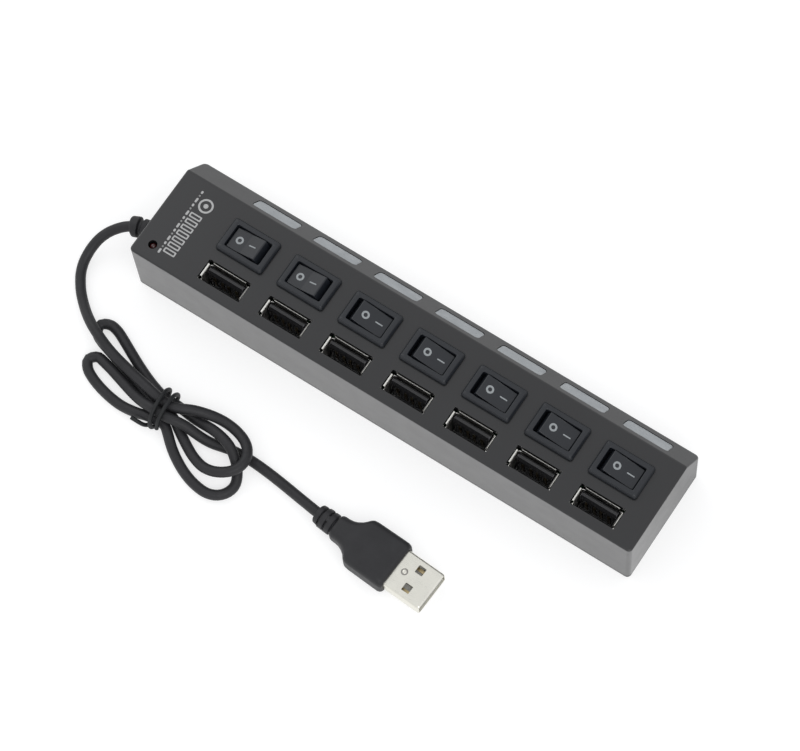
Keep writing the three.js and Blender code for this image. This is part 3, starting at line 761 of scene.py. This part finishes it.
def port_springs(k, x, front, bottom, top):
    """The four contact springs that stand in the tongue's grooves."""
    bm = bmesh.new()
    thick = 0.2 * MM
    path = [(front + 0.08 * MM, bottom + 0.7 * MM), (front + 0.05 * MM, top - 4.4 * MM),
            (front - 0.32 * MM, top - 2.4 * MM), (front + 0.05 * MM, top - 1.0 * MM)]
    section = path + [(y + thick, z) for y, z in reversed(path)]
    for offset in SPRING_XS:
        at = x + offset * MM
        loft(bm, [[Vector((end, y, z)) for y, z in section]
                  for end in (at - 0.4 * MM, at + 0.4 * MM)])
    springs = solid(f"port_springs_{k}", bm)
    soften(springs, 0.05 * MM, 2, 20)
    # The springs' dark finish is painted shade for the dim port.
    piece(springs, "contact_gold", material=SHADED_SPRING_BRONZE)


# ---------------------------------------------------------------- switches


def switch_frame(k):
    low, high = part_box(f"switch_body_{k}")
    centre = ((low.x + high.x) / 2, (low.y + high.y) / 2)
    w, d = high.x - low.x, high.y - low.y
    top, seat = high.z, HUB_HIGH.z + 0.05 * MM
    body_low = low.z + 4.7 * MM
    well_w, well_d = 11.2 * MM, 6.9 * MM
    body_w, body_d = 13.0 * MM, 8.4 * MM
    rects = [
        (body_w - 0.4 * MM, body_d - 0.4 * MM, 0.3 * MM, body_low),
        (body_w, body_d, 0.4 * MM, body_low + 0.2 * MM),
        (body_w, body_d, 0.4 * MM, seat),
        (w - 0.16 * MM, d - 0.16 * MM, 0.75 * MM, seat),
        (w, d, 0.8 * MM, seat + 0.1 * MM),
        (w, d, 0.8 * MM, top - 0.85 * MM),
        (w - 0.14 * MM, d - 0.14 * MM, 0.78 * MM, top - 0.62 * MM),
        (w - 0.95 * MM, d - 0.95 * MM, 0.55 * MM, top - 0.08 * MM),
        (w - 1.15 * MM, d - 1.15 * MM, 0.5 * MM, top),
        (well_w + 0.5 * MM, well_d + 0.5 * MM, 0.5 * MM, top),
        (well_w + 0.18 * MM, well_d + 0.18 * MM, 0.42 * MM, top - 0.08 * MM),
        (well_w, well_d, 0.35 * MM, top - 0.3 * MM),
        (well_w, well_d, 0.35 * MM, body_low + 2 * MM),
    ]
    body = solid(f"switch_frame_{k}", loft_rects(rects, centre))
    hinge = Vector(HINGES[f"rocker_{k}"]["pos_m"])
    hole = prism(circle(0.97 * MM, 24, (hinge.x, hinge.z)), hinge.y - 5 * MM, hinge.y + 5 * MM, "y")
    combine(body, "DIFFERENCE", solid("hole", hole))
    for side in (-4, 4):
        at = centre[0] + side * MM
        blade = soft_bar((at - 0.3 * MM, centre[1] - 1.4 * MM, low.z),
                         (at + 0.3 * MM, centre[1] + 1.4 * MM, body_low + 0.5 * MM), 0.12 * MM, 2)
        combine(body, "UNION", solid("blade", blade))
    shade(body)
    piece(body, "switch_plastic", stands_for=[f"switch_body_{k}"])


ROCKER_END = (4.75, 3.8)
ROCKER_DIP = 3.2
ROCKER_HALF = 3.2
FACE_SLOPE = math.atan2(ROCKER_END[1] - ROCKER_DIP, ROCKER_END[0])


def rocker(k):
    """The rocker at its rest tilt, with its two marks printed on the top faces."""
    joint = HINGES[f"rocker_{k}"]
    tilt = -math.radians(sum(joint["range_deg"])) / 2
    place = Matrix.Translation(joint["pos_m"]) @ Matrix.Rotation(tilt, 4, "Y")
    half = [(1, -3, 0), (4.85, -2.2, 0.5), (5.45, 0.2, 1.2), (*ROCKER_END, 0.4)]
    corners = [*half, (0, ROCKER_DIP, 0), *[(-a, b, r) for a, b, r in reversed(half)]]
    points = rounded_polygon([(a * MM, b * MM, r * MM) for a, b, r in corners])
    bm = prism(points, -ROCKER_HALF * MM, ROCKER_HALF * MM, "y")
    caps = [f for f in bm.faces if len(f.verts) == len(points)]
    bevel_edges(bm, {e for f in caps for e in f.edges}, 0.2 * MM, 3)
    paddle = solid(f"rocker_{k}_paddle", bm)
    pins = prism(circle(0.8 * MM, 20), -3.85 * MM, 3.85 * MM, "y")
    combine(paddle, "UNION", solid("pins", pins))
    for edge in paddle.data.edges:
        ends = [paddle.data.vertices[i].co for i in edge.vertices]
        edge.use_edge_sharp = all(abs(end.x) < 0.01 * MM and end.z > 1 * MM for end in ends)
    shade(paddle)
    paddle.matrix_world = place
    piece(paddle, "switch_plastic", f"rocker_{k}", [f"switch_rocker_{k}"])
    marks = rocker_marks(f"rocker_{k}_marks")
    marks.matrix_world = place
    piece(marks, None, f"rocker_{k}", material=ROCKER_INK)


def stadium(length, width, steps=6):
    """Points of a bar with half-round ends."""
    points = rounded_rect(length, width, width / 2, steps)
    return [p for i, p in enumerate(points) if math.dist(p, points[i - 1]) > 0.001 * MM]


def on_face(side):
    """Where a mark sits on the rocker's top: side is -1 for the left face, 1 for the right."""
    x = side * 2.15 * MM
    z = ROCKER_DIP * MM + abs(x) * math.tan(FACE_SLOPE)
    return Matrix.Translation((x, 0, z)) @ Matrix.Rotation(-side * FACE_SLOPE, 4, "Y")


def rocker_marks(name):
    """A ring on the off side and a dash on the on side, as thin raised ink."""
    thick = 0.035 * MM
    bm = bmesh.new()
    ring = [upright(circle(radius * MM, 36), z * thick)
            for radius, z in ((1.12, -1), (1.12, 1), (0.58, 1), (0.58, -1))]
    left, right = on_face(-1), on_face(1)
    loft(bm, [[left @ p for p in loop] for loop in ring], ring=True)
    dash = stadium(2.3 * MM, 0.34 * MM)
    loft(bm, [[right @ p for p in upright(dash, z)] for z in (-thick, thick)])
    return solid(name, bm)


# ---------------------------------------------------------------- cable, boots and tie


def cable_centre():
    """The cable's line, from inside the hub to the plug."""
    centres = ring_centres("cable", Vector((1, 0, 0)))
    centres.reverse()
    return Line(smooth_line(centres, 3))


CABLE = cable_centre()
CABLE_LENGTH = CABLE.along[-1]
BORE = 1.62


def cable():
    rod = solid("cable_run", CABLE.rod(0, CABLE_LENGTH, 1.5 * MM, 20, 1.0 * MM, 0.2 * MM))
    piece(shade(rod), "cable_jacket", stands_for=["cable"])


def boot_outline(corners):
    return rounded_polygon([(d * MM, r * MM, f * MM) for d, r, f in corners], 3)


def wall_boot():
    """The strain relief in the casing's wall: flange inside, two ribs and an end collar outside."""
    wall = 10.0
    steps = [
        (-4, BORE, 0), (-4, 3.5, 0.2), (-2.3, 3.5, 0.15), (-2.3, 2.5, 0), (0.3, 2.5, 0),
        (0.3, 2.85, 0.2), (1.8, 2.85, 0.3), (2.2, 2.15, 0.2), (2.9, 2.15, 0.2), (3.2, 2.8, 0.3),
        (4.5, 2.8, 0.3), (4.8, 2.2, 0.2), (5.4, 2.2, 0.2), (5.7, 3.0, 0.35), (7.8, 2.95, 0.45),
        (8.0, BORE, 0),
    ]
    outline = boot_outline([(wall + d, r, f) for d, r, f in steps])
    boot = solid("wall_boot", CABLE.sleeve(outline, 28))
    piece(shade(boot), "cable_jacket", stands_for=["cable_strain_relief"])


def tie():
    outward = Vector((-1, 0, 0.2)).normalized()
    line = Line(smooth_line(ring_centres("twist_tie", outward), 4))
    rod = solid("tie_run", line.rod(0, line.along[-1], 0.6 * MM, 12, 0.5 * MM, 0.15 * MM))
    piece(shade(rod), "tie_wire", stands_for=["twist_tie"])


# ---------------------------------------------------------------- plug

PLUG_TURN = math.radians(-3.4)
SHELL_BACK, SHELL_FRONT = -3.7, 11.2
SHELL_SIZE = (12.0, 4.5)
DIMPLE = (2.1, 0.25)


def plug_place():
    """From the plug's own frame, at the middle of the grip's front face, to the hub's frame."""
    low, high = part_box("plug_shell")
    turn = Matrix.Rotation(PLUG_TURN, 4, "Z")
    middle = turn @ Vector(((SHELL_BACK + SHELL_FRONT) / 2 * MM, 0, 0))
    return Matrix.Translation((low + high) / 2 - middle) @ turn


PLUG = plug_place()


def lengthwise(stations, steps=6):
    """A solid along the plug, from (x, width, height, radius) stations."""
    bm = bmesh.new()
    loops = []
    for x, width, height, radius in stations:
        outline = rounded_rect(width * MM, height * MM, radius * MM, steps)
        loops.append([PLUG @ Vector((x * MM, y, z)) for y, z in outline])
    loft(bm, loops)
    return bm


def grip():
    """The plug's moulded grip and its ribbed boot, in one piece."""
    outside = [
        (-20.8, 5.6, 5.4, 1.9), (-20.7, 6.3, 5.9, 2.0), (-20.4, 6.8, 6.2, 2.0), (-19.8, 7.1, 6.4, 2.1),
        (-18.6, 7.1, 6.7, 2.1), (-17.4, 7.4, 6.9, 2.1), (-16.3, 8.2, 7.1, 2.1), (-15.1, 9.7, 7.3, 2.1),
        (-14.2, 11.4, 7.5, 2.1), (-13.5, 13.1, 7.65, 2.1), (-13.1, 13.8, 7.7, 2.1), (-12.6, 14.2, 7.75, 2.0),
        (-11.5, 14.5, 7.8, 2.0), (-6.0, 14.6, 7.8, 1.9), (-2.6, 14.7, 7.8, 1.9), (-1.6, 14.7, 7.7, 1.9),
        (-1.0, 14.5, 7.2, 1.9), (-0.6, 14.1, 6.5, 1.8), (-0.4, 13.6, 5.7, 1.6),
    ]
    pocket = [(-0.4, 12.25, 4.75, 0.7), (-4.0, 12.25, 4.75, 0.7)]
    body = solid("plug_grip", lengthwise(outside + pocket))
    neck = CABLE_LENGTH / MM - 9.0
    outline = boot_outline([(neck + d, r, f) for d, r, f in (
        (-5.9, 1, 0), (-5.9, 2.75, 0.3), (-4.5, 2.95, 0.3), (-4.4, 2.3, 0.15), (-4.0, 2.3, 0.15),
        (-3.9, 3.1, 0.25), (-2.5, 3.2, 0.3), (-2.4, 2.35, 0.15), (-2.0, 2.35, 0.15),
        (-1.9, 3.15, 0.25), (-0.45, 3.2, 0.25), (-0.35, 2.5, 0), (1.5, 2.5, 0), (1.5, 1, 0))])
    combine(body, "UNION", solid("boot", CABLE.sleeve(outline, 28)))
    for start, half_y, half_z in ((-25.4, 2.9, 0.8), (-23.5, 0.8, 3.0), (-23.5, 3.0, 0.8)):
        bridge = soft_bar((start * MM, -half_y * MM, -half_z * MM),
                          ((start + 1.2) * MM, half_y * MM, half_z * MM), 0.15 * MM, 2)
        bridge.transform(PLUG)
        combine(body, "UNION", solid("bridge", bridge))
    bore = CABLE.rod(CABLE_LENGTH - 20 * MM, CABLE_LENGTH, BORE * MM, 28, 1 * MM, 0.1 * MM)
    combine(body, "DIFFERENCE", solid("bore", bore))
    tidy_mesh(body)
    shade(body)
    piece(body, "cable_jacket", stands_for=["plug_overmold"])


def plug_shell():
    """The plug's sheet shell, with two square latch holes and a round dimple on each broad face."""
    width, height = SHELL_SIZE
    wall = 0.3
    bm = bmesh.new()
    rings = [(SHELL_BACK, 0), (SHELL_FRONT - 0.7, 0), (SHELL_FRONT - 0.3, 0.05), (SHELL_FRONT, 0.22),
             (SHELL_FRONT, 0.4), (SHELL_FRONT - 0.4, wall), (SHELL_BACK, wall)]
    loops = []
    for x, inset in rings:
        outline = rounded_rect((width - 2 * inset) * MM, (height - 2 * inset) * MM,
                               (0.9 - 1.2 * inset) * MM, 6)
        loops.append([PLUG @ Vector((x * MM, y, z)) for y, z in outline])
    loft(bm, loops, ring=True)
    shell = solid("plug_sleeve", bm)
    for y in (-3, 3):
        hole = soft_bar((4.25 * MM, (y - 1.15) * MM, -height * MM),
                        (6.55 * MM, (y + 1.15) * MM, height * MM), 0.15 * MM, 2)
        hole.transform(PLUG)
        combine(shell, "DIFFERENCE", solid("hole", hole))
    for side in (-1, 1):
        face = side * height / 2 * MM
        ring = [(d * MM, face + side * dz * MM) for d, dz in
                ((0.6, 0.05), (0.62, -0.16), (0.66, -0.2), (0.92, -0.2), (0.96, -0.16), (0.98, 0.05))]
        bm = bmesh.new()
        loft(bm, [upright(circle(r, 32), z) for r, z in ring], ring=True)
        bm.transform(PLUG @ Matrix.Translation((DIMPLE[0] * MM, DIMPLE[1] * MM, 0)))
        combine(shell, "DIFFERENCE", solid("dimple", bm))
    tidy_mesh(shell)
    soften(shell, 0.05 * MM, 2, 40)
    piece(shell, "plated_steel", stands_for=["plug_shell"], material=PLUG_STEEL)

    # The dimple groove's faces take the darker steel as painted shade.
    def in_shaded_dimple(face):
        x, y, z = (PLUG.inverted() @ face.center) / MM
        return 0.01 < height / 2 - abs(z) < 0.25 and math.dist((x, y), DIMPLE) < 1.0
    bare_and_shaded(shell, in_shaded_dimple)


# ---------------------------------------------------------------- printing on the roof

INK = 0.02 * MM


def ink_solid(bm, points, x, y, turn=0.0):
    """A flat printed patch on the roof."""
    place = Matrix.Translation((x, y, HUB_HIGH.z)) @ Matrix.Rotation(turn, 4, "Z")
    loft(bm, [[place @ p for p in upright(points, z)] for z in (-INK, INK)])


def ink_frame(bm, outer, inner, x, y):
    """A printed line that closes on itself, between two outlines."""
    place = Matrix.Translation((x, y, HUB_HIGH.z))
    loops = [upright(outer, -INK), upright(outer, INK), upright(inner, INK), upright(inner, -INK)]
    loft(bm, [[place @ p for p in loop] for loop in loops], ring=True)


def roof_print():
    """Wordless marks: a row of seven port signs, a round sign beside it and a line of ticks."""
    bm = bmesh.new()
    left = HUB_LOW.x
    row_x = left + 10.0 * MM
    for k in range(7):
        y = HUB_LOW.y + (5.2 + 2.05 * k) * MM
        ink_frame(bm, rounded_rect(3.7 * MM, 1.5 * MM, 0.3 * MM), rounded_rect(2.9 * MM, 0.7 * MM, 0.15 * MM),
                  row_x, y)
    sign_y = HUB_LOW.y + 21.6 * MM
    ink_frame(bm, circle(2.15 * MM, 40), circle(1.6 * MM, 40), left + 10.6 * MM, sign_y)
    ink_solid(bm, circle(0.7 * MM, 24), left + 10.6 * MM, sign_y)
    lengths = [1.5, 0.5, 0.9]
    y = HUB_LOW.y + 3.4 * MM
    k = 0
    while y < HUB_LOW.y + 25 * MM:
        length = lengths[k % 3] * MM
        ink_solid(bm, stadium(length, 0.62 * MM, 4), left + 7.4 * MM, y + length / 2, math.radians(90))
        y += length + 0.5 * MM
        k += 1
    marks = solid("roof_marks", bm)
    piece(marks, None, material=ROOF_INK)


# ---------------------------------------------------------------- assembly

housing()
cover()
light_windows()
power_lamp()
for screw in range(1, 5):
    screw_plug(screw)
    keep(f"cover_screw_{screw}", "screw_steel", 0.08 * MM)
for port in PORTS:
    port_shell(port)
    port_block(port)
    switch_frame(port)
    rocker(port)
    keep(f"port_led_{port}", "surface_led", 0.15 * MM)
cable()
wall_boot()
tie()
grip()
plug_shell()
keep("main_board", "board_laminate", 0.08 * MM)
keep("hub_chip", "chip_epoxy", 0.1 * MM)
keep("dc_jack", "insulator_plastic", 0.15 * MM)
keep("plug_insulator", "plug_plastic", 0.15 * MM)
for contact in range(1, 5):
    keep(f"plug_contact_{contact}", "contact_gold", 0.05 * MM)
roof_print()

# ---------------------------------------------------------------- floor, light and camera


def floor():
    bm = bmesh.new()
    half = 3.0
    bm.faces.new([bm.verts.new((x * half, y * half, COVER_LOW.z))
                  for x, y in ((-1, -1), (1, -1), (1, 1), (-1, 1))])
    paper = solid("floor", bm)
    paper.data.materials.append(floor_paper())


def soft_light(name, place, target, size, power):
    data = bpy.data.lights.new(name, "AREA")
    data.shape = "DISK"
    data.size = size
    data.energy = power
    lamp = bpy.data.objects.new(name, data)
    bpy.context.scene.collection.objects.link(lamp)
    lamp.location = place
    lamp.rotation_mode = "QUATERNION"
    lamp.rotation_quaternion = (Vector(target) - Vector(place)).to_track_quat("-Z", "Y")


def surroundings():
    world = bpy.data.worlds.new("studio")
    world.use_nodes = True
    tree = world.node_tree
    background = tree.nodes["Background"]
    place = tree.nodes.new("ShaderNodeTexCoord")
    parts = tree.nodes.new("ShaderNodeSeparateXYZ")
    ramp = tree.nodes.new("ShaderNodeValToRGB")
    tree.links.new(place.outputs["Generated"], parts.inputs["Vector"])
    tree.links.new(parts.outputs["Z"], ramp.inputs["Fac"])
    tree.links.new(ramp.outputs["Color"], background.inputs["Color"])
    low, high = ramp.color_ramp.elements
    low.position, low.color = 0.0, (1.0, 1.0, 1.0, 1)
    high.position, high.color = 0.9, (0.92, 0.93, 0.95, 1)
    background.inputs["Strength"].default_value = 0.88
    bpy.context.scene.world = world


def camera():
    """A long lens high above the hub's front right."""
    azimuth, elevation, roll = math.radians(40.4), math.radians(68.86), math.radians(-7.35)
    place = Vector((205.7, -247.5, 834.0)) * MM
    back = Vector((math.sin(azimuth) * math.cos(elevation), -math.cos(azimuth) * math.cos(elevation),
                   math.sin(elevation)))
    data = bpy.data.cameras.new("camera")
    data.sensor_width = 36
    data.lens = 147.4
    data.clip_start, data.clip_end = 0.01, 20
    eye = bpy.data.objects.new("camera", data)
    bpy.context.scene.collection.objects.link(eye)
    eye.location = place
    eye.rotation_mode = "QUATERNION"
    eye.rotation_quaternion = (-back).to_track_quat("-Z", "Y") @ Quaternion((0, 0, 1), roll)
    bpy.context.scene.camera = eye


floor()
surroundings()
soft_light("key", (0.6, -0.5, 1.1), (0, 0, 0), 0.9, 4)
soft_light("fill", (-0.9, 0.3, 0.9), (0, 0, 0), 1.0, 2)
camera()
bpy.context.scene.view_settings.view_transform = "Standard"
